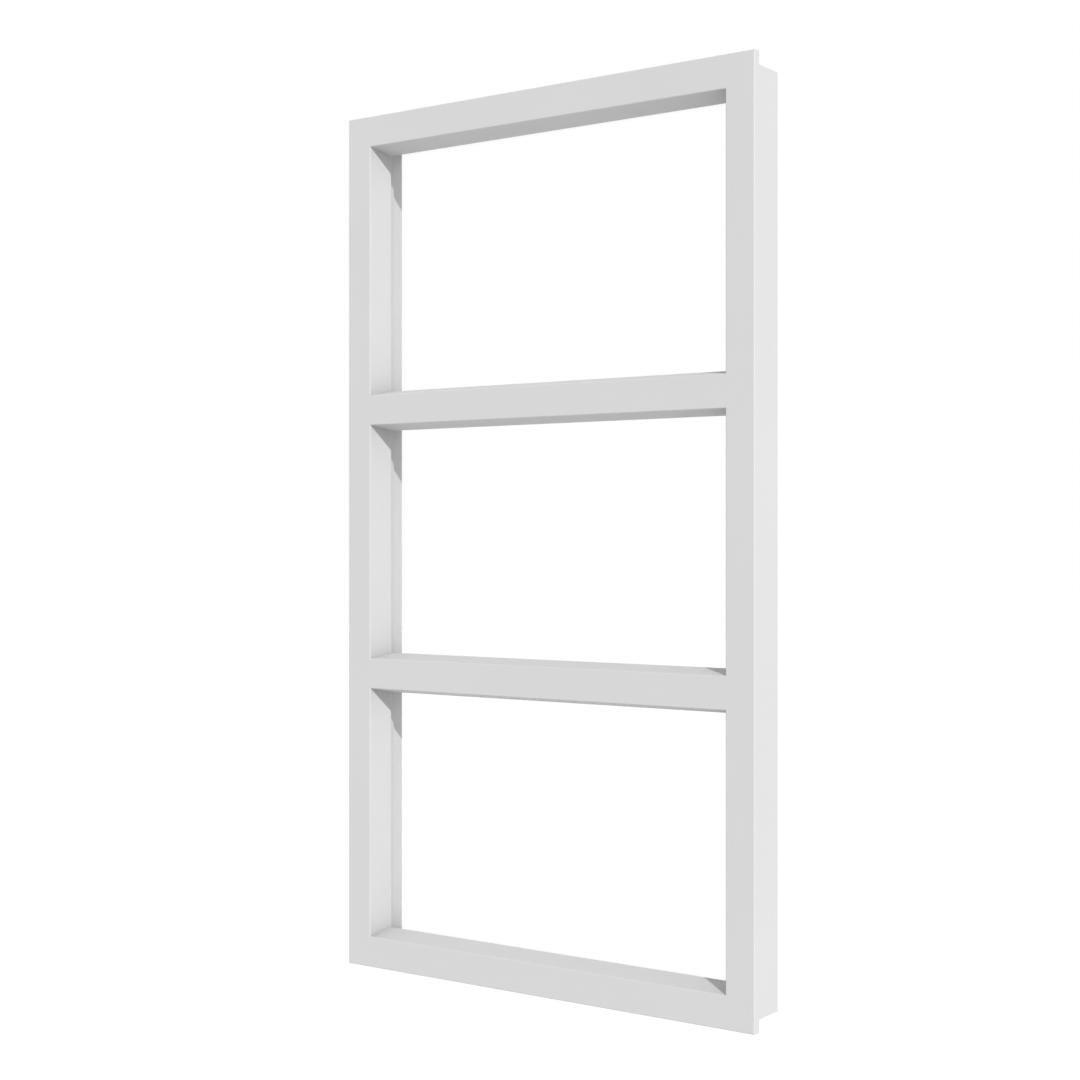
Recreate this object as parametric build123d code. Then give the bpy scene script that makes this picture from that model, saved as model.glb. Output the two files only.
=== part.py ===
from build123d import *
import os

# A painted timber fixed window with three lights, one above another.
# All sizes are millimetres. X runs across the window, +Y into the wall and +Z up.
# The origin is on the back face of the wall flange, in the middle of the strip under the sill.

# Overall sizes
WINDOW_WIDTH = 816.0
WINDOW_HEIGHT = 1500.0
FRAME_DEPTH = 100.0

# Wall flange, the thin edge that laps over the face of the wall
FLANGE_THICKNESS = 15.0
FLANGE_OVERHANG = 13.0

# Front faces, seen square on
JAMB_FACE = 50.0
RAIL_FACE = 53.0

# Splayed lip in front of the glass, and the glazing rebate behind it
LIP_DEPTH = 43.5
OUTER_LIP_SPLAY = 11.4
TRANSOM_LIP_SPLAY = 8.6
REBATE_HEIGHT = 19.4
ARRIS = 1.0

# Stub tenons that lock the cross members into the jambs
TENON_LENGTH = 20.0
TENON_THICKNESS = 28.0
TENON_SETBACK = 14.0
TENON_SHOULDER = 5.0
TENON_CLEARANCE = 0.2
MORTICE_GLUE_ROOM = 1.0

# Glass, and what seats it
GLASS_THICKNESS = 6.0
GLASS_EDGE_CLEARANCE = 3.0
GLASS_ARRIS = 0.5
TAPE_THICKNESS = 2.0
FRONT_TAPE_WIDTH = 12.0
FRONT_TAPE_SETBACK = 1.5
BACK_TAPE_WIDTH = 4.5
BEAD_HEIGHT = 8.0
BEAD_FALL = 1.5
BEAD_DEPTH = 14.5
BEAD_ARRIS = 0.8
BLOCK_LENGTH = 80.0
BLOCK_INSET = 110.0

# Places worked out from the sizes
LEFT_EDGE = -WINDOW_WIDTH / 2
BOTTOM_EDGE = -FLANGE_OVERHANG / 2
TOP_EDGE = BOTTOM_EDGE + WINDOW_HEIGHT
FRONT_Y = -FLANGE_THICKNESS
BACK_Y = FRONT_Y + FRAME_DEPTH
LIP_BACK_Y = FRONT_Y + LIP_DEPTH

JAMB_REBATE_FLOOR = JAMB_FACE + OUTER_LIP_SPLAY - REBATE_HEIGHT
RAIL_REBATE_FLOOR = RAIL_FACE + OUTER_LIP_SPLAY - REBATE_HEIGHT
WEB_HALF = RAIL_FACE / 2 + TRANSOM_LIP_SPLAY - REBATE_HEIGHT

REBATE_RIGHT_X = WINDOW_WIDTH / 2 - JAMB_REBATE_FLOOR
GLASS_FRONT_Y = LIP_BACK_Y + TAPE_THICKNESS
GLASS_BACK_Y = GLASS_FRONT_Y + GLASS_THICKNESS
BEAD_FRONT_Y = GLASS_BACK_Y + TAPE_THICKNESS

SIGHT_THIRD = (WINDOW_HEIGHT - 2 * RAIL_FACE) / 3
LOWER_TRANSOM_Z = BOTTOM_EDGE + RAIL_FACE + SIGHT_THIRD
UPPER_TRANSOM_Z = TOP_EDGE - RAIL_FACE - SIGHT_THIRD

INTO_WALL = Vector(0, 1, 0)
UP = Vector(0, 0, 1)
RIGHT = Vector(1, 0, 0)


def member_section(face, splay):
    """Section of a jamb, head or sill: first inwards from the flange's edge, then into the wall."""
    floor = face + splay - REBATE_HEIGHT
    outline = [
        (0, 0),
        (face, 0),
        (face + splay, LIP_DEPTH),
        (floor, LIP_DEPTH),
        (floor, FRAME_DEPTH),
        (FLANGE_OVERHANG, FRAME_DEPTH),
        (FLANGE_OVERHANG, FLANGE_THICKNESS),
        (0, FLANGE_THICKNESS),
    ]
    section = make_face(Polyline(*outline, close=True))
    softened = [corner for corner in section.vertices() if is_exposed(corner, face, splay)]
    return chamfer(softened, ARRIS)


def is_exposed(corner, face, splay):
    """True at the section's corners that show: both front ones and the lip's back edge."""
    at_front = corner.Y < ARRIS
    on_lip = abs(corner.X) > abs(face + splay) - ARRIS
    return at_front or on_lip


def transom_section():
    """Section of a transom, the same above and below its middle: first upwards, then into the wall."""
    half = RAIL_FACE / 2
    lip = half + TRANSOM_LIP_SPLAY
    upper_side = [(half, 0), (lip, LIP_DEPTH), (WEB_HALF, LIP_DEPTH), (WEB_HALF, FRAME_DEPTH)]
    lower_side = [(-height, depth) for height, depth in reversed(upper_side)]
    section = make_face(Polyline(*upper_side, *lower_side, close=True))
    softened = [corner for corner in section.vertices() if is_exposed(corner, half, TRANSOM_LIP_SPLAY)]
    return chamfer(softened, ARRIS)


def block_between(low, high):
    """Square block from its lowest corner to its highest one."""
    size = Vector(*high) - Vector(*low)
    middle = (Vector(*high) + Vector(*low)) / 2
    return Pos(middle) * Box(size.X, size.Y, size.Z)


def end_arris(end_z, inwards):
    """Wedge off the front edge at one end of a jamb, so the arris runs on round the flange's corner."""
    end = Plane(origin=(LEFT_EDGE, FRONT_Y, end_z), x_dir=INTO_WALL, z_dir=INTO_WALL.cross(inwards))
    wedge = make_face(Polyline((0, 0), (ARRIS, 0), (0, ARRIS), close=True))
    return extrude(end * wedge, amount=JAMB_FACE + OUTER_LIP_SPLAY, dir=RIGHT)


def blank_jamb():
    """Left jamb before its mortices: the flange runs full height, and the body stops short of it."""
    foot = Plane(origin=(LEFT_EDGE, FRONT_Y, BOTTOM_EDGE), x_dir=RIGHT, z_dir=UP)
    jamb = extrude(foot * member_section(JAMB_FACE, OUTER_LIP_SPLAY), amount=WINDOW_HEIGHT, dir=UP)
    for end_z, inwards in ((BOTTOM_EDGE, UP), (TOP_EDGE, -UP)):
        shoulder_z = end_z + inwards.Z * FLANGE_OVERHANG
        low_z, high_z = sorted((end_z, shoulder_z))
        jamb -= block_between((LEFT_EDGE, 0, low_z), (0, BACK_Y, high_z))
        jamb -= end_arris(end_z, inwards)
    return jamb


def tenons(low_z, high_z):
    """Stub tenons at both ends of a cross member, between two heights."""
    front_y = LIP_BACK_Y + TENON_SETBACK
    reach = REBATE_RIGHT_X + TENON_LENGTH
    return block_between((-reach, front_y, low_z), (reach, front_y + TENON_THICKNESS, high_z))


def mortices(low_z, high_z):
    """Space for those tenons, with clearance all round and room for glue at the ends."""
    front_y = LIP_BACK_Y + TENON_SETBACK
    reach = REBATE_RIGHT_X + TENON_LENGTH + MORTICE_GLUE_ROOM
    gap = TENON_CLEARANCE
    return block_between(
        (-reach, front_y - gap, low_z - gap),
        (reach, front_y + TENON_THICKNESS + gap, high_z + gap),
    )


def cross_member(section, foot_z, tenon_range, jambs):
    """Sill or transom: its section run from rebate to rebate, scribed over both jambs, plus tenons."""
    end = Plane(origin=(REBATE_RIGHT_X, FRONT_Y, foot_z), x_dir=UP, z_dir=-RIGHT)
    rail = extrude(end * section, amount=2 * REBATE_RIGHT_X, dir=-RIGHT)
    for jamb in jambs:
        rail -= jamb
    return rail + tenons(*tenon_range)


def ring(outer, margin, front_y, thickness):
    """Flat rectangular ring of tape: outer is its half width, low Z and high Z."""
    half_width, low_z, high_z = outer
    back_y = front_y + thickness
    whole = block_between((-half_width, front_y, low_z), (half_width, back_y, high_z))
    inner_half = half_width - margin
    hole = block_between((-inner_half, front_y, low_z + margin), (inner_half, back_y, high_z - margin))
    return whole - hole


def inset(opening, distance):
    """The same opening, smaller by a distance on every side."""
    half_width, low_z, high_z = opening
    return half_width - distance, low_z + distance, high_z - distance


def glass_pane(opening):
    """Pane with ground arrises, clear of the rebate all round."""
    half_width, low_z, high_z = inset(opening, GLASS_EDGE_CLEARANCE)
    pane = block_between((-half_width, GLASS_FRONT_Y, low_z), (half_width, GLASS_BACK_Y, high_z))
    return chamfer(pane.edges(), GLASS_ARRIS)


def front_tape(opening):
    """Tape between the lip and the glass, kept just below the sight line."""
    edge = REBATE_HEIGHT - FRONT_TAPE_SETBACK - FRONT_TAPE_WIDTH
    return ring(inset(opening, edge), FRONT_TAPE_WIDTH, LIP_BACK_Y, TAPE_THICKNESS)


def back_tape(opening):
    """Narrow tape between the glass and its beads."""
    return ring(inset(opening, GLASS_EDGE_CLEARANCE), BACK_TAPE_WIDTH, GLASS_BACK_Y, TAPE_THICKNESS)


def setting_blocks(opening):
    """Two packers that carry the pane on the floor of the rebate."""
    half_width, low_z, _ = opening
    top_z = low_z + GLASS_EDGE_CLEARANCE
    blocks = []
    for side in (-1, 1):
        middle_x = side * (half_width - BLOCK_INSET)
        low = (middle_x - BLOCK_LENGTH / 2, GLASS_FRONT_Y, low_z)
        high = (middle_x + BLOCK_LENGTH / 2, GLASS_BACK_Y, top_z)
        blocks.append(block_between(low, high))
    return Compound(children=blocks)


def bead_section():
    """Glazing bead: first off the rebate's floor, then into the wall, its top falling to the back."""
    outline = [
        (0, 0),
        (BEAD_HEIGHT + BEAD_FALL, 0),
        (BEAD_HEIGHT, BEAD_DEPTH),
        (0, BEAD_DEPTH),
    ]
    section = make_face(Polyline(*outline, close=True))
    back_corner = section.vertices().sort_by_distance((BEAD_HEIGHT, BEAD_DEPTH)).first
    return chamfer(back_corner, BEAD_ARRIS)


def mitred_bead(corner, along, inward, length):
    """Bead from one corner of the rebate to the next, mitred at both ends."""
    end_plane = Plane(origin=corner, x_dir=inward, z_dir=inward.cross(INTO_WALL))
    bead = extrude(end_plane * bead_section(), amount=length, dir=along)
    first_mitre = Plane(origin=corner, x_dir=INTO_WALL, z_dir=along - inward)
    last_mitre = Plane(origin=corner + along * length, x_dir=INTO_WALL, z_dir=-along - inward)
    bead = split(bead, bisect_by=first_mitre, keep=Keep.TOP)
    return split(bead, bisect_by=last_mitre, keep=Keep.TOP)


def beads(opening):
    """The four beads round one pane, by the side that each is on."""
    half_width, low_z, high_z = opening
    width = 2 * half_width
    height = high_z - low_z
    runs = {
        "bottom": (Vector(-half_width, BEAD_FRONT_Y, low_z), RIGHT, UP, width),
        "right": (Vector(half_width, BEAD_FRONT_Y, low_z), UP, -RIGHT, height),
        "top": (Vector(half_width, BEAD_FRONT_Y, high_z), -RIGHT, -UP, width),
        "left": (Vector(-half_width, BEAD_FRONT_Y, high_z), -UP, RIGHT, height),
    }
    return {side: mitred_bead(*run) for side, run in runs.items()}


def frame_members():
    """Two jambs, with the sill, head and transoms tenoned between them."""
    left_jamb = blank_jamb()
    right_jamb = mirror(left_jamb, about=Plane.YZ)
    jambs = (left_jamb, right_jamb)

    sill_tenon = (
        BOTTOM_EDGE + FLANGE_OVERHANG + TENON_SHOULDER,
        BOTTOM_EDGE + RAIL_REBATE_FLOOR - TENON_SHOULDER,
    )
    sill = cross_member(member_section(RAIL_FACE, OUTER_LIP_SPLAY), BOTTOM_EDGE, sill_tenon, jambs)
    middle = Plane.XY.offset((BOTTOM_EDGE + TOP_EDGE) / 2)
    members = {"sill": sill, "head": mirror(sill, about=middle)}
    head_tenon = [BOTTOM_EDGE + TOP_EDGE - edge_z for edge_z in reversed(sill_tenon)]
    mortice_ranges = [sill_tenon, head_tenon]

    for name, middle_z in (("lower_transom", LOWER_TRANSOM_Z), ("upper_transom", UPPER_TRANSOM_Z)):
        tenon_half = WEB_HALF - TENON_SHOULDER
        tenon_range = (middle_z - tenon_half, middle_z + tenon_half)
        members[name] = cross_member(transom_section(), middle_z, tenon_range, jambs)
        mortice_ranges.append(tenon_range)

    for mortice_range in mortice_ranges:
        left_jamb -= mortices(*mortice_range)
    members["left_jamb"] = left_jamb
    members["right_jamb"] = mirror(left_jamb, about=Plane.YZ)
    return members


def glazing_openings():
    """Rebate opening behind each light: its half width, low Z and high Z."""
    sill_floor = BOTTOM_EDGE + RAIL_REBATE_FLOOR
    head_floor = TOP_EDGE - RAIL_REBATE_FLOOR
    return {
        "bottom": (REBATE_RIGHT_X, sill_floor, LOWER_TRANSOM_Z - WEB_HALF),
        "middle": (REBATE_RIGHT_X, LOWER_TRANSOM_Z + WEB_HALF, UPPER_TRANSOM_Z - WEB_HALF),
        "top": (REBATE_RIGHT_X, UPPER_TRANSOM_Z + WEB_HALF, head_floor),
    }


def glazing(light, opening):
    """Everything that fills one light: pane, tapes, setting blocks and beads."""
    nodes = {
        f"{light}_glass": glass_pane(opening),
        f"{light}_front_tape": front_tape(opening),
        f"{light}_back_tape": back_tape(opening),
        f"{light}_setting_blocks": setting_blocks(opening),
    }
    for side, bead in beads(opening).items():
        nodes[f"{light}_bead_{side}"] = bead
    return nodes


def main():
    """Build every node and write it to its own file."""
    os.makedirs("parts", exist_ok=True)
    nodes = frame_members()
    for light, opening in glazing_openings().items():
        nodes.update(glazing(light, opening))
    for name, shape in nodes.items():
        export_step(shape, f"parts/{name}.step")
        print(name, "written")


main()
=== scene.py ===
# %% [markdown]
# # A painted timber window with three fixed lights
# The window is built elsewhere as solid joinery and arrives here as a finished frame of named parts.
# This lesson gives those parts their paint, glass and foam, adds the small pins that hold the glazing
# beads, and sets up a camera, a lamp and a floor that show them plainly.

# %% Load the window's parts
import math

import bpy
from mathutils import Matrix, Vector


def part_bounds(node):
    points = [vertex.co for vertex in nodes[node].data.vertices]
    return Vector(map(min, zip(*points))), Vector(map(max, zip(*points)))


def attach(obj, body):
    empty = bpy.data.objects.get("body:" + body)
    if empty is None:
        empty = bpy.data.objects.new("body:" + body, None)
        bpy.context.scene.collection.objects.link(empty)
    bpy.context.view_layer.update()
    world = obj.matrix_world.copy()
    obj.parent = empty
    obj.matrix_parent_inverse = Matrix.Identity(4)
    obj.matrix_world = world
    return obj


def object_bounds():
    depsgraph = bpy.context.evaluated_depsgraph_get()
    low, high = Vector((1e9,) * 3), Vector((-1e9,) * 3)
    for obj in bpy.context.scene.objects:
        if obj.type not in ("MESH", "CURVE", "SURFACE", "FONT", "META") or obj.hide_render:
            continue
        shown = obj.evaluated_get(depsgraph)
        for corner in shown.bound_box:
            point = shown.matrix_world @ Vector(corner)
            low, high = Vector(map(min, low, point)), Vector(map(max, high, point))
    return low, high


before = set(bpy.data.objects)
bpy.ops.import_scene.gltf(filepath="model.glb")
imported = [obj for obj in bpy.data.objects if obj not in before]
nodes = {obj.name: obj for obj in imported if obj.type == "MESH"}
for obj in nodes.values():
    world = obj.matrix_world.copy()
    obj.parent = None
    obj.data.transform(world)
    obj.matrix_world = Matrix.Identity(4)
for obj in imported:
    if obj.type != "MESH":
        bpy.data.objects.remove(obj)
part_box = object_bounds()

print(len(nodes), "parts, from", tuple(part_box[0]), "to", tuple(part_box[1]))

# %% [markdown]
# ## Where things are
# Every place below comes from the parts themselves, so the lesson still works if the window grows.
# X runs across the window, Y from the front face into the wall, and Z up, all in metres.

# %% Measure the window
MM = 0.001
low, high = part_box
size = high - low
middle = (low + high) / 2
print(f"window {size.x:.3f} m wide, {size.z:.3f} m high, {size.y:.3f} m deep")

# %% [markdown]
# ## The camera
# The photograph looks level at the window from its right, and level cameras keep uprights upright.
# The place is given from the window's lower left front corner, in window heights, because that is
# how it was worked out: from the vanishing point of the rails and the known shape of the frame. A
# camera looks straight down until it is turned, so a quarter turn brings it level.

# %% Put the camera where the photographer stood
CAMERA_FROM_CORNER = Vector((1.42474, -1.62509, 0.50202))
CAMERA_TURN = math.radians(35.21)
CAMERA_LENS = 60.35
SENSOR_WIDTH = 36.0
QUARTER_TURN = math.radians(90)

camera_data = bpy.data.cameras.new("camera")
camera_data.lens = CAMERA_LENS
camera_data.sensor_width = SENSOR_WIDTH
camera = bpy.data.objects.new("camera", camera_data)
camera.location = low + CAMERA_FROM_CORNER * size.z
camera.rotation_euler = (QUARTER_TURN, 0, CAMERA_TURN)
bpy.context.scene.collection.objects.link(camera)
bpy.context.scene.camera = camera
print("camera at", tuple(round(value, 3) for value in camera.location))

# %% [markdown]
# ## Helpers for node trees
# Node trees read better when a node and its settings are made in one line. The first helper makes a
# node, sets its plain properties, and fills or links its inputs by name. The next two do sums and
# ranges with it, and the last starts a material.

# %% Make nodes in one call
def add_node(tree, kind, inputs=None, **settings):
    """A new node: settings are its properties, and inputs maps a socket to a value or another output."""
    node = tree.nodes.new(kind)
    for name, value in settings.items():
        setattr(node, name, value)
    for socket, value in (inputs or {}).items():
        if isinstance(value, bpy.types.NodeSocket):
            tree.links.new(value, node.inputs[socket])
        else:
            node.inputs[socket].default_value = value
    return node


def calc(tree, operation, *values):
    """The result of one Math node."""
    return add_node(tree, "ShaderNodeMath", dict(enumerate(values)), operation=operation).outputs[0]


def rescale(tree, value, old_range, new_range):
    """A value carried from one range over to another, and held within it."""
    inputs = {"Value": value}
    inputs["From Min"], inputs["From Max"] = old_range
    inputs["To Min"], inputs["To Max"] = new_range
    return add_node(tree, "ShaderNodeMapRange", inputs).outputs["Result"]


def new_material(name):
    """An empty material, and its tree."""
    material = bpy.data.materials.new(name)
    material.use_nodes = True
    material.node_tree.nodes.clear()
    return material, material.node_tree


print("helpers ready: add_node, calc, rescale, new_material")

# %% [markdown]
# ## Light
# White paint shows its shape only through soft differences of grey. One low sun from the right gives
# the bevels their three tones. Its small angle keeps the edges of its shadows sharp.

# %% Hang the sun
SUN_DIRECTION = Vector((0.7275, -0.4861, 0.4842))
SUN_STRENGTH = 2.06
SUN_ANGLE = math.radians(0.3)

sun_data = bpy.data.lights.new("sun", "SUN")
sun_data.energy = SUN_STRENGTH
sun_data.angle = SUN_ANGLE
sun = bpy.data.objects.new("sun", sun_data)
sun.rotation_euler = SUN_DIRECTION.to_track_quat("Z", "Y").to_euler()
bpy.context.scene.collection.objects.link(sun)
print("sun of strength", SUN_STRENGTH)

# %% [markdown]
# An even white sky fills the shadows. The camera, reflections and glass see it at full white, while
# the paint is lit by a dimmer one, so that nothing burns out.

# %% Light the sky
SKY_STRENGTH = 0.523
FULL_STRENGTH = 1.0
WHITE = (1.0, 1.0, 1.0, 1.0)


def seen_directly(tree):
    """1 for rays from the camera, and for those that come off or through something shiny."""
    path = add_node(tree, "ShaderNodeLightPath").outputs
    either = calc(tree, "MAXIMUM", path["Is Camera Ray"], path["Is Glossy Ray"])
    return calc(tree, "MAXIMUM", either, path["Is Transmission Ray"])


world = bpy.data.worlds.new("studio")
bpy.context.scene.world = world
world.use_nodes = True
sky = world.node_tree
sky.nodes.clear()
sky_level = rescale(sky, seen_directly(sky), (0.0, 1.0), (SKY_STRENGTH, FULL_STRENGTH))
sky_colour = add_node(sky, "ShaderNodeBackground", {"Color": WHITE, "Strength": sky_level})
add_node(sky, "ShaderNodeOutputWorld", {"Surface": sky_colour.outputs[0]})
bpy.context.scene.view_settings.view_transform = "Standard"
print("sky of strength", SKY_STRENGTH)

# %% [markdown]
# ## Floor
# The window hangs in a wall, so the floor lies well below it, as it would under a real sill. One
# large square is enough, because it only has to reach past every view of the window.

# %% Lay the floor
FLOOR_DROP = 2.0
FLOOR_SIDE = 80.0

half = FLOOR_SIDE / 2
floor_z = low.z - FLOOR_DROP
corners = [
    (-half, -half, floor_z),
    (half, -half, floor_z),
    (half, half, floor_z),
    (-half, half, floor_z),
]
floor_mesh = bpy.data.meshes.new("floor")
floor_mesh.from_pydata(corners, [], [(0, 1, 2, 3)])
floor = bpy.data.objects.new("floor", floor_mesh)
bpy.context.scene.collection.objects.link(floor)
print("floor", FLOOR_DROP, "m under the window")

# %% [markdown]
# The floor is matte and catches the shadow. A little light of its own lifts it to white wherever it
# is seen, by the camera, in a reflection or through the glass, and lights nothing else.

# %% Whiten the floor
FLOOR_COLOUR = (0.8, 0.8, 0.8, 1.0)
FLOOR_ROUGHNESS = 0.9
FLOOR_GLOSS = 0.0
FLOOR_LIFT = 0.36

floor_material, tree = new_material("pale_floor")
floor_shader = add_node(
    tree, "ShaderNodeBsdfPrincipled",
    {
        "Base Color": FLOOR_COLOUR,
        "Roughness": FLOOR_ROUGHNESS,
        "Specular IOR Level": FLOOR_GLOSS,
        "Emission Color": WHITE,
        "Emission Strength": calc(tree, "MULTIPLY", seen_directly(tree), FLOOR_LIFT),
    },
)
add_node(tree, "ShaderNodeOutputMaterial", {"Surface": floor_shader.outputs[0]})
floor_mesh.materials.append(floor_material)
print("floor of", floor_material.name)

# %% [markdown]
# ## Paint
# Satin paint on planed timber is nearly one colour. What makes it read as paint is small: strokes of
# the brush along each length of wood, a slow drift of tone, and a sheen that is a little uneven. The
# strokes follow the wood, so uprights and level members need the same effect turned a quarter. One
# shader group holds the effect, and each material gives it its own direction. Two helpers come first:
# one starts a group with named sockets, and one makes noise.

# %% Start a group, and make noise
VALUE, COLOUR, VECTOR = "NodeSocketFloat", "NodeSocketColor", "NodeSocketVector"
PLAIN_GRIT = 0.5


def new_group(name, inputs, outputs, kind="ShaderNodeTree"):
    """A node group with named sockets, and what its inputs give inside it."""
    group = bpy.data.node_groups.new(name, kind)
    for socket, socket_kind in inputs.items():
        group.interface.new_socket(socket, in_out="INPUT", socket_type=socket_kind)
    for socket, socket_kind in outputs.items():
        group.interface.new_socket(socket, in_out="OUTPUT", socket_type=socket_kind)
    return group, add_node(group, "NodeGroupInput").outputs


def noise(tree, place, scale, detail, grit=PLAIN_GRIT):
    """The grey of a noise pattern. Detail is its number of finer layers, and grit is their strength."""
    inputs = {"Vector": place, "Scale": scale, "Detail": detail, "Roughness": grit}
    return add_node(tree, "ShaderNodeTexNoise", inputs).outputs["Fac"]


print("helpers ready: new_group, noise")

# %% [markdown]
# Three noises make the surface. The first is stretched along the wood into strokes, by the scale that
# each material gives. The second is the slow drift. The third is the fine peel of paint that has
# flowed a little before it dried.

# %% Lay the three noises of the paint
STROKES = {"scale": 1.0, "detail": 4.0, "grit": 0.55}
SLOW_DRIFT = {"scale": 3.0, "detail": 2.0, "grit": 0.5}
PEEL = {"scale": 900.0, "detail": 2.0, "grit": 0.6}

paint_group, given = new_group(
    "brushed_paint",
    {
        "Place": VECTOR,
        "Stroke Scale": VECTOR,
        "Tone": COLOUR,
        "Drift": VALUE,
        "Sheen": VALUE,
        # share of painted shade that darkens the tone
        "Painted Shade": VALUE,
    },
    {"Color": COLOUR, "Roughness": VALUE, "Height": VALUE},
)
stretched = add_node(
    paint_group, "ShaderNodeVectorMath",
    {0: given["Place"], 1: given["Stroke Scale"]},
    operation="MULTIPLY",
)
strokes = noise(paint_group, stretched.outputs[0], **STROKES)
slow = noise(paint_group, given["Place"], **SLOW_DRIFT)
peel = noise(paint_group, given["Place"], **PEEL)
print("strokes", STROKES, "drift", SLOW_DRIFT, "peel", PEEL)

# %% [markdown]
# Strokes and drift change the tone by a percent or two either way, and the painted shade on the
# reveals, which comes next, darkens it by its own share. The sheen follows the strokes. The height has a
# little peel as well.

# %% Turn the noises into colour, sheen and height
NOISE_MIDDLE = 0.5
NOISE_RANGE = (0.3, 0.7)
PEEL_SHARE = 0.25
SHEEN_SPREAD = 0.06

both = calc(paint_group, "ADD", strokes, slow)
centred = calc(paint_group, "SUBTRACT", both, 2 * NOISE_MIDDLE)
drift = calc(paint_group, "MULTIPLY", centred, given["Drift"])
# the painted shade takes its share off the tone
unshaded = calc(paint_group, "SUBTRACT", 1.0, given["Painted Shade"])
toned = add_node(
    paint_group, "ShaderNodeVectorMath",
    {0: given["Tone"], "Scale": calc(paint_group, "ADD", drift, unshaded)},
    operation="SCALE",
)
uneven = rescale(paint_group, strokes, NOISE_RANGE, (-SHEEN_SPREAD, SHEEN_SPREAD))
bumps = calc(paint_group, "MULTIPLY", peel, PEEL_SHARE)
add_node(
    paint_group, "NodeGroupOutput",
    {
        "Color": toned.outputs[0],
        "Roughness": calc(paint_group, "ADD", given["Sheen"], uneven),
        "Height": calc(paint_group, "ADD", strokes, bumps),
    },
)
print("paint group with", len(paint_group.nodes), "nodes")

# %% [markdown]
# ## Painted shade in the corners
# Shade gathers where two members meet, so the colour of the reveals is darkened there and lightens
# along the wood: this is painted shade. It could be found by casting rays from the surface, but that
# is slow and speckled, and glass would count as a wall. Here it follows from position: how far a place
# is from the nearest jamb, and how far from the nearest level member. Within a member's own thickness
# the distance is nothing, so the corner is as far as the larger of the two. A corner above a ledge is
# painted darker than one below, so the underside of a level member counts as a little higher than
# it is.

# %% Measure how far a place is from the nearest corner
FAR_OFF = 1.0
# painted shade starts this far above each level member's underside, so corners below a ledge are painted
# lighter
LESS_SHADE_BELOW = 8 * MM


def distance_to(tree, along, spans, recess):
    """How far a place is from the nearest of several spans on one axis, each drawn in by recess."""
    nearest = FAR_OFF
    for span_low, span_high in spans:
        off_centre = calc(tree, "SUBTRACT", along, (span_low + span_high) / 2)
        gap = calc(tree, "SUBTRACT", calc(tree, "ABSOLUTE", off_centre), (span_high - span_low) / 2)
        nearest = calc(tree, "MINIMUM", nearest, gap)
    return calc(tree, "MAXIMUM", calc(tree, "ADD", nearest, recess), 0.0)


jamb_boxes = [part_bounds(name) for name in nodes if name.endswith("jamb")]
level_boxes = [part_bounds(name) for name in nodes if name.endswith(("sill", "head", "transom"))]
jamb_spans = [(box_low.x, box_high.x) for box_low, box_high in jamb_boxes]
level_spans = [(box_low.z + LESS_SHADE_BELOW, box_high.z) for box_low, box_high in level_boxes]
print("jambs", jamb_spans, "level members", level_spans)

# %% [markdown]
# The lips slope, so a member draws back from its box by a small share of the way to the back of the
# lip, and the painted shade follows the line of the joint. It is darkest in the corner and fades with
# the square of the distance, counted in reaches: one reach away, a quarter of it is left.

# %% Paint shade into the corners
LIP_SLOPE = 0.23
FADING_POWER = -2.0

# a node group that paints shade into the colour of the reveals, darker towards inner corners
painted_shade_group, given = new_group(
    "painted_corner_shade",
    {
        "Place": VECTOR,
        "Facing": VECTOR,
        "Even Shade": VALUE,
        "Corner Shade": VALUE,
        "Corner Reach": VALUE,
        "Underside Shade": VALUE,
    },
    {"Painted Shade": VALUE},
)
place = add_node(painted_shade_group, "ShaderNodeSeparateXYZ", {0: given["Place"]}).outputs
lip_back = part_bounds("top_front_tape")[0].y
off_lip_back = calc(painted_shade_group, "SUBTRACT", place["Y"], lip_back)
recess = calc(painted_shade_group, "MULTIPLY", calc(painted_shade_group, "ABSOLUTE", off_lip_back), LIP_SLOPE)
from_jambs = distance_to(painted_shade_group, place["X"], jamb_spans, recess)
from_levels = distance_to(painted_shade_group, place["Z"], level_spans, recess)
to_corner = calc(painted_shade_group, "MAXIMUM", from_jambs, from_levels)
reaches = calc(painted_shade_group, "DIVIDE", to_corner, given["Corner Reach"])
fading = calc(painted_shade_group, "POWER", calc(painted_shade_group, "ADD", reaches, 1.0), FADING_POWER)
# painted corner shade, darkest in the corner
corner_shade = calc(painted_shade_group, "MULTIPLY", fading, given["Corner Shade"])
print("back of the lip at", lip_back)

# %% [markdown]
# The painted shade differs from face to face. On upward faces in the right half, whose corners lie in
# the cast shadow of the right jamb, less than half of the corner shade is painted. Undersides, and the
# rebate behind the pane, are painted a little darker all over.

# %% Paint less shade on some faces and more on others
# share of the painted corner shade taken off upward faces in the right half
RIGHT_SHADE_CUT = 0.6
# painted shade added all over the rebate behind the pane
REBATE_SHADE = 0.03

facing = add_node(painted_shade_group, "ShaderNodeSeparateXYZ", {0: given["Facing"]}).outputs
upward = calc(painted_shade_group, "MAXIMUM", facing["Z"], 0.0)
on_right = calc(painted_shade_group, "GREATER_THAN", place["X"], middle.x)
right_upward = calc(painted_shade_group, "MULTIPLY", upward, on_right)
# less painted shade on upward faces in the right half
right_shade_cut = calc(painted_shade_group, "MULTIPLY", calc(painted_shade_group, "MULTIPLY", corner_shade, right_upward), RIGHT_SHADE_CUT)
painted_shade = calc(painted_shade_group, "ADD", calc(painted_shade_group, "SUBTRACT", corner_shade, right_shade_cut), given["Even Shade"])
downward = calc(painted_shade_group, "MAXIMUM", calc(painted_shade_group, "MULTIPLY", facing["Z"], -1.0), 0.0)
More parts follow.
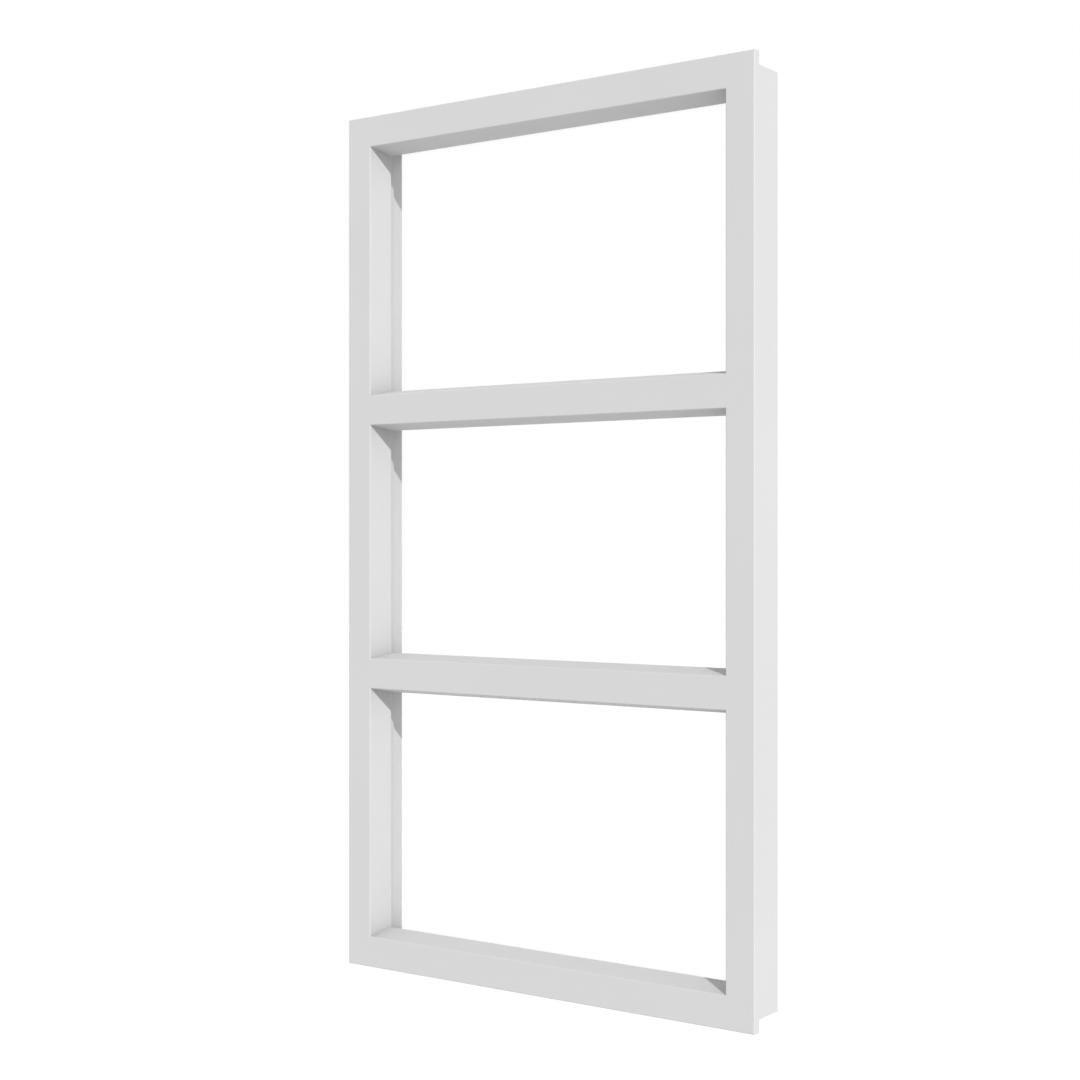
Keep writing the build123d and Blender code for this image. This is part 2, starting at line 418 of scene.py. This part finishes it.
# more painted shade on undersides
underside_shade = calc(painted_shade_group, "MULTIPLY", downward, given["Underside Shade"])
in_rebate = calc(painted_shade_group, "GREATER_THAN", place["Y"], lip_back)
# more painted shade in the rebate
rebate_shade = calc(painted_shade_group, "MULTIPLY", in_rebate, REBATE_SHADE)
painted_shade = calc(painted_shade_group, "ADD", painted_shade, calc(painted_shade_group, "ADD", underside_shade, rebate_shade))
print("right-end corner shade cut by", RIGHT_SHADE_CUT, "and painted shade in the rebate", REBATE_SHADE)

# %% [markdown]
# The painted shade belongs to the reveals only. Faces that look straight out of the wall get none, and
# neither does everything further out than the edges of the glass, such as the sides that go into the
# wall.

# %% Keep the painted shade in the reveals
PANE_MARGIN = 10 * MM
REVEAL_FACING = 0.3
FRONT_FACING = 0.9

pane_highs = [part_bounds(name)[1] for name in nodes if name.endswith("glass")]
for axis in ("x", "z"):
    edge = max(getattr(pane_high, axis) for pane_high in pane_highs) + PANE_MARGIN
    centre = getattr(middle, axis)
    off_centre = calc(painted_shade_group, "SUBTRACT", place[axis.upper()], centre)
    inside = calc(painted_shade_group, "LESS_THAN", calc(painted_shade_group, "ABSOLUTE", off_centre), edge - centre)
    painted_shade = calc(painted_shade_group, "MULTIPLY", painted_shade, inside)
outward = calc(painted_shade_group, "ABSOLUTE", facing["Y"])
on_reveal = rescale(painted_shade_group, outward, (REVEAL_FACING, FRONT_FACING), (1.0, 0.0))
add_node(painted_shade_group, "NodeGroupOutput", {"Painted Shade": calc(painted_shade_group, "MULTIPLY", painted_shade, on_reveal)})
print("painted shade group with", len(painted_shade_group.nodes), "nodes")

# %% [markdown]
# ## The two paints
# Every matte finish ends alike: an effect gives colour, roughness and height, and the height becomes a
# bump. What is the same all over, such as the gloss, is set straight on the shader.

# %% Make a matte surface from an effect
def matte_surface(tree, effect, gloss, bump_strength, bump_depth):
    """The shader of a matte material, joined to its effect and to the material's output."""
    bump = add_node(
        tree, "ShaderNodeBump",
        {"Height": effect["Height"], "Strength": bump_strength, "Distance": bump_depth},
    )
    shader = add_node(
        tree, "ShaderNodeBsdfPrincipled",
        {
            "Base Color": effect["Color"],
            "Roughness": effect["Roughness"],
            "Specular IOR Level": gloss,
            "Normal": bump.outputs["Normal"],
        },
    )
    add_node(tree, "ShaderNodeOutputMaterial", {"Surface": shader.outputs[0]})


print("helper ready: matte_surface")

# %% [markdown]
# The two paints differ in which way the brush went. Strokes are about a millimetre apart and run on
# for a hand's length. The upright reveals are also given a touch of painted shade all along, which makes
# them greyer than the level ones, as they are in the photograph, and their painted corner shade reaches
# less far out of the corners.

# %% Mix the paint for uprights and level members
PAINT_TONE = (0.74, 0.74, 0.74, 1.0)
PAINT_DRIFT = 0.05
PAINT_SHEEN = 0.55
PAINT_GLOSS = 0.3
# amounts of painted shade: on undersides, and on the reveals evenly, in the corners and how far from
# them
UNDERSIDE_SHADE = 0.04
UPRIGHT_SHADE = {"Even Shade": 0.08, "Corner Shade": 0.27, "Corner Reach": 36 * MM}
LEVEL_SHADE = {"Even Shade": 0.0, "Corner Shade": 0.29, "Corner Reach": 46 * MM}
STROKE_BUMP = 0.25
STROKE_DEPTH = 0.2 * MM
ACROSS = 1 / (0.9 * MM)
ALONG = 1 / (90 * MM)


def paint(name, stroke_scale, shade_amounts):
    """White satin paint with its strokes stretched by stroke_scale and painted shade on its reveals."""
    material, tree = new_material(name)
    place = add_node(tree, "ShaderNodeTexCoord").outputs["Object"]
    # the painted shade of the reveals, from the corner group
    painted_shade = add_node(
        tree, "ShaderNodeGroup",
        {
            "Place": place,
            "Facing": add_node(tree, "ShaderNodeNewGeometry").outputs["True Normal"],
            "Underside Shade": UNDERSIDE_SHADE,
            **shade_amounts,
        },
        node_tree=painted_shade_group,
    )
    effect = add_node(
        tree, "ShaderNodeGroup",
        {
            "Place": place,
            "Stroke Scale": stroke_scale,
            "Tone": PAINT_TONE,
            "Drift": PAINT_DRIFT,
            "Sheen": PAINT_SHEEN,
            "Painted Shade": painted_shade.outputs["Painted Shade"],
        },
        node_tree=paint_group,
    )
    matte_surface(tree, effect.outputs, PAINT_GLOSS, STROKE_BUMP, STROKE_DEPTH)
    return material


upright_paint = paint("paint_upright", (ACROSS, ACROSS, ALONG), UPRIGHT_SHADE)
level_paint = paint("paint_level", (ALONG, ACROSS, ACROSS), LEVEL_SHADE)
print("paints:", upright_paint.name, level_paint.name)

# %% [markdown]
# ## Glass
# Float glass is clear face on and green through its edge. Its faces are polished, and its edges are
# ground to a soft grey, so roughness and tint follow the way each face points. Wiping leaves a trace
# of smears on the faces.

# %% Tint and polish the glass
CLEAR_TINT = (0.997, 0.999, 0.998, 1.0)
EDGE_TINT = (0.45, 0.72, 0.62, 1.0)
EDGE_ROUGHNESS = 0.35
POLISHED_FACING = 0.9
SMEAR = {"scale": 6.0, "detail": 3.0, "grit": 0.6}
SMEAR_RANGE = (0.45, 0.75)
SMEAR_ROUGHNESS = 0.02
MIX_COLOUR_A, MIX_COLOUR_B, MIX_COLOUR_OUT = 6, 7, 2


def mix_colours(tree, share, first, second):
    """The first colour where share is 0, the second where it is 1, and a blend between."""
    inputs = {"Factor": share, MIX_COLOUR_A: first, MIX_COLOUR_B: second}
    return add_node(tree, "ShaderNodeMix", inputs, data_type="RGBA").outputs[MIX_COLOUR_OUT]


glass, tree = new_material("float_glass")
normal = add_node(tree, "ShaderNodeNewGeometry").outputs["True Normal"]
facing = add_node(tree, "ShaderNodeSeparateXYZ", {0: normal}).outputs
on_edge = calc(tree, "LESS_THAN", calc(tree, "ABSOLUTE", facing["Y"]), POLISHED_FACING)
tint = mix_colours(tree, on_edge, CLEAR_TINT, EDGE_TINT)
smear = noise(tree, add_node(tree, "ShaderNodeTexCoord").outputs["Object"], **SMEAR)
faint = rescale(tree, smear, SMEAR_RANGE, (0.0, SMEAR_ROUGHNESS))
rough = add_node(tree, "ShaderNodeMix", {"Factor": on_edge, "A": faint, "B": EDGE_ROUGHNESS})
print("glass edges of roughness", EDGE_ROUGHNESS)

# %% [markdown]
# Rays from the lamp and from matte surfaces pass straight through, because real panes throw next to no
# shadow. A white studio would veil the rebate behind the pane, so the mirror in the glass is turned
# down.

# %% Let light through the glass
GLASS_BEND = 1.5
GLASS_SHINE = 0.2
ALL_THROUGH = 1.0

body = add_node(
    tree, "ShaderNodeBsdfPrincipled",
    {
        "Base Color": tint,
        "Roughness": rough.outputs[0],
        "IOR": GLASS_BEND,
        "Specular IOR Level": GLASS_SHINE,
        "Transmission Weight": ALL_THROUGH,
    },
)
path = add_node(tree, "ShaderNodeLightPath").outputs
let_through = calc(tree, "MAXIMUM", path["Is Shadow Ray"], path["Is Diffuse Ray"])
open_air = add_node(tree, "ShaderNodeBsdfTransparent", {"Color": CLEAR_TINT})
pane = add_node(
    tree, "ShaderNodeMixShader", {0: let_through, 1: body.outputs[0], 2: open_air.outputs[0]}
)
add_node(tree, "ShaderNodeOutputMaterial", {"Surface": pane.outputs[0]})
print("glass bends light by", GLASS_BEND)

# %% [markdown]
# ## Tape and setting blocks
# The panes are bedded on closed-cell foam tape, pale and matte with tiny pores, and each stands on two
# hard plastic blocks. Both are speckled with fine grains under a cloudy unevenness. One shader group
# makes that, and each material gives it its own size of grain, its two tones and its roughness.

# %% Build the fine grain group
CLOUD_PER_GRAIN = 0.2
CLOUD_DETAIL = 3.0
ROUGHNESS_SPREAD = 0.08

grain_group, given = new_group(
    "fine_grain",
    {"Place": VECTOR, "Grains per Metre": VALUE, "Pale": COLOUR, "Dark": COLOUR, "Roughness": VALUE},
    {"Color": COLOUR, "Roughness": VALUE, "Height": VALUE},
)
cells = add_node(
    grain_group, "ShaderNodeTexVoronoi",
    {"Vector": given["Place"], "Scale": given["Grains per Metre"]},
)
cloud_scale = calc(grain_group, "MULTIPLY", given["Grains per Metre"], CLOUD_PER_GRAIN)
cloud = noise(grain_group, given["Place"], cloud_scale, CLOUD_DETAIL)
shade = calc(grain_group, "MULTIPLY", cells.outputs["Distance"], cloud)
uneven = rescale(grain_group, cloud, (0.0, 1.0), (-ROUGHNESS_SPREAD, ROUGHNESS_SPREAD))
add_node(
    grain_group, "NodeGroupOutput",
    {
        "Color": mix_colours(grain_group, shade, given["Pale"], given["Dark"]),
        "Roughness": calc(grain_group, "ADD", given["Roughness"], uneven),
        "Height": cells.outputs["Distance"],
    },
)
print("grain group with", len(grain_group.nodes), "nodes")

# %% [markdown]
# Foam pores are small and deep for their size. The plastic has a coarser and much shallower grain, from
# the mould.

# %% Make the foam and the plastic
GRAIN_GLOSS = 0.5
GRAIN_BUMP = 0.5
FOAM_DEPTH = 0.1 * MM
PLASTIC_DEPTH = 0.03 * MM
FOAM_GRAIN = {
    "Grains per Metre": 1 / (0.4 * MM),
    "Pale": (0.74, 0.74, 0.73, 1.0),
    "Dark": (0.55, 0.55, 0.54, 1.0),
    "Roughness": 0.85,
}
PLASTIC_GRAIN = {
    "Grains per Metre": 1 / (0.8 * MM),
    "Pale": (0.05, 0.05, 0.05, 1.0),
    "Dark": (0.02, 0.02, 0.02, 1.0),
    "Roughness": 0.5,
}


def speckled(name, depth, grain):
    """A matte material with fine grains of the given depth in metres."""
    material, tree = new_material(name)
    place = add_node(tree, "ShaderNodeTexCoord").outputs["Object"]
    effect = add_node(tree, "ShaderNodeGroup", {"Place": place, **grain}, node_tree=grain_group)
    matte_surface(tree, effect.outputs, GRAIN_GLOSS, GRAIN_BUMP, depth)
    return material


foam = speckled("foam_tape", FOAM_DEPTH, FOAM_GRAIN)
plastic = speckled("block_plastic", PLASTIC_DEPTH, PLASTIC_GRAIN)
print("made", foam.name, "and", plastic.name)

# %% [markdown]
# ## Dress the parts
# A part keeps its shape and only changes its material. The name says what it is: jambs and side beads
# stand upright, and everything else that is painted lies level.

# %% Give each part its material
def finish_for(name):
    """The material for a part, by its name."""
    if name.endswith("glass"):
        return glass
    if name.endswith("tape"):
        return foam
    if name.endswith("blocks"):
        return plastic
    if name.endswith(("jamb", "_left", "_right")):
        return upright_paint
    return level_paint


for name, part in nodes.items():
    part.data.materials.clear()
    part.data.materials.append(finish_for(name))
print({name: part.data.materials[0].name for name, part in nodes.items()})

# %% [markdown]
# ## Pins in the glazing beads
# Thin pins hold each bead to the frame. They are driven flush, filled and painted over, which leaves
# low domes in a row along the bead's back face. They could be modelled one by one, but a row follows a
# rule, so Geometry Nodes lays it: a line down each bead, points along the line, a dome on each point.
# First come the lines. Each runs along the middle of a bead's back face and stops short of the mitres.

# %% Draw a line down the back of each bead
PIN_END_GAP = 45 * MM


def bead_line(name):
    """Both ends of the row of pins on one bead."""
    bead_low, bead_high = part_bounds(name)
    centre = (bead_low + bead_high) / 2
    centre.y = bead_high.y
    extent = bead_high - bead_low
    along = Vector((1, 0, 0)) if extent.x > extent.z else Vector((0, 0, 1))
    reach = max(extent.x, extent.z) / 2 - PIN_END_GAP
    return centre - along * reach, centre + along * reach


bead_names = sorted(name for name in nodes if "_bead_" in name)
line_points = [point for name in bead_names for point in bead_line(name)]
line_edges = [(2 * i, 2 * i + 1) for i in range(len(bead_names))]
lines = bpy.data.meshes.new("bead_lines")
lines.from_pydata(line_points, line_edges, [])
pins = bpy.data.objects.new("bead_pins", lines)
bpy.context.scene.collection.objects.link(pins)
print(len(line_edges), "rows of pins")

# %% [markdown]
# The tree takes the lines and three sizes. It turns each line into a curve, and the curve into points
# at an even spacing.

# %% Start the pin tree and space the pins
GEOMETRY = "NodeSocketGeometry"
PIN_SIZES = {"Spacing": 140 * MM, "Radius": 1.5 * MM, "Rise": 0.4 * MM}

pin_tree, given = new_group(
    "pin_rows",
    {"Lines": GEOMETRY, **dict.fromkeys(PIN_SIZES, VALUE)},
    {"Pins": GEOMETRY},
    kind="GeometryNodeTree",
)
run = add_node(pin_tree, "GeometryNodeMeshToCurve", {"Mesh": given["Lines"]})
spots = add_node(
    pin_tree, "GeometryNodeResampleCurve",
    {"Curve": run.outputs["Curve"], "Length": given["Spacing"]},
    mode="LENGTH",
)
print("pins every", PIN_SIZES["Spacing"], "m")

# %% [markdown]
# Each dome is a sphere of one metre, scaled down to the pin's radius and rise, turned to face out of
# the back of the bead, and sunk to its middle in it. A small change of size from pin to pin keeps them
# from looking stamped.

# %% Shape the domes and set them on the points
PIN_SIDES = 12
PIN_RINGS = 6
PIN_SEED = 7
LEAST_PIN, LARGEST_PIN = 0.9, 1.1
RANDOM_MIN, RANDOM_MAX, RANDOM_OUT = 2, 3, 1

ball = add_node(
    pin_tree, "GeometryNodeMeshUVSphere", {"Segments": PIN_SIDES, "Rings": PIN_RINGS, "Radius": 1.0}
)
shape = add_node(
    pin_tree, "ShaderNodeCombineXYZ",
    {"X": given["Radius"], "Y": given["Radius"], "Z": given["Rise"]},
)
dome = add_node(
    pin_tree, "GeometryNodeTransform",
    {"Geometry": ball.outputs["Mesh"], "Scale": shape.outputs[0], "Rotation": (QUARTER_TURN, 0, 0)},
)
sizes = add_node(
    pin_tree, "FunctionNodeRandomValue",
    {RANDOM_MIN: LEAST_PIN, RANDOM_MAX: LARGEST_PIN, "Seed": PIN_SEED},
    data_type="FLOAT",
)
placed = add_node(
    pin_tree, "GeometryNodeInstanceOnPoints",
    {
        "Points": spots.outputs["Curve"],
        "Instance": dome.outputs["Geometry"],
        "Scale": sizes.outputs[RANDOM_OUT],
    },
)
solid = add_node(pin_tree, "GeometryNodeRealizeInstances", {"Geometry": placed.outputs["Instances"]})
smooth = add_node(pin_tree, "GeometryNodeSetShadeSmooth", {"Geometry": solid.outputs["Geometry"]})
painted = add_node(
    pin_tree, "GeometryNodeSetMaterial",
    {"Geometry": smooth.outputs["Geometry"], "Material": level_paint},
)
add_node(pin_tree, "NodeGroupOutput", {"Pins": painted.outputs["Geometry"]})
print("pin tree with", len(pin_tree.nodes), "nodes")

# %% [markdown]
# A modifier runs the tree, with its sizes set by the sockets' identifiers. Its result is copied into a
# plain mesh, because what leaves this file has to be real geometry, and the modifier goes.

# %% Set the pins and keep them as a mesh
setter = pins.modifiers.new("pin_rows", "NODES")
setter.node_group = pin_tree
identifiers = {socket.name: socket.identifier for socket in pin_tree.interface.items_tree}
for name, value in PIN_SIZES.items():
    setter[identifiers[name]] = value
evaluated = pins.evaluated_get(bpy.context.evaluated_depsgraph_get())
pin_mesh = bpy.data.meshes.new_from_object(evaluated)
pins.modifiers.clear()
pins.data = pin_mesh
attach(pins, "root")
print(len(pin_mesh.polygons), "faces in the pins")

# %% [markdown]
# ## Finish

# %% Finish
bpy.context.view_layer.update()
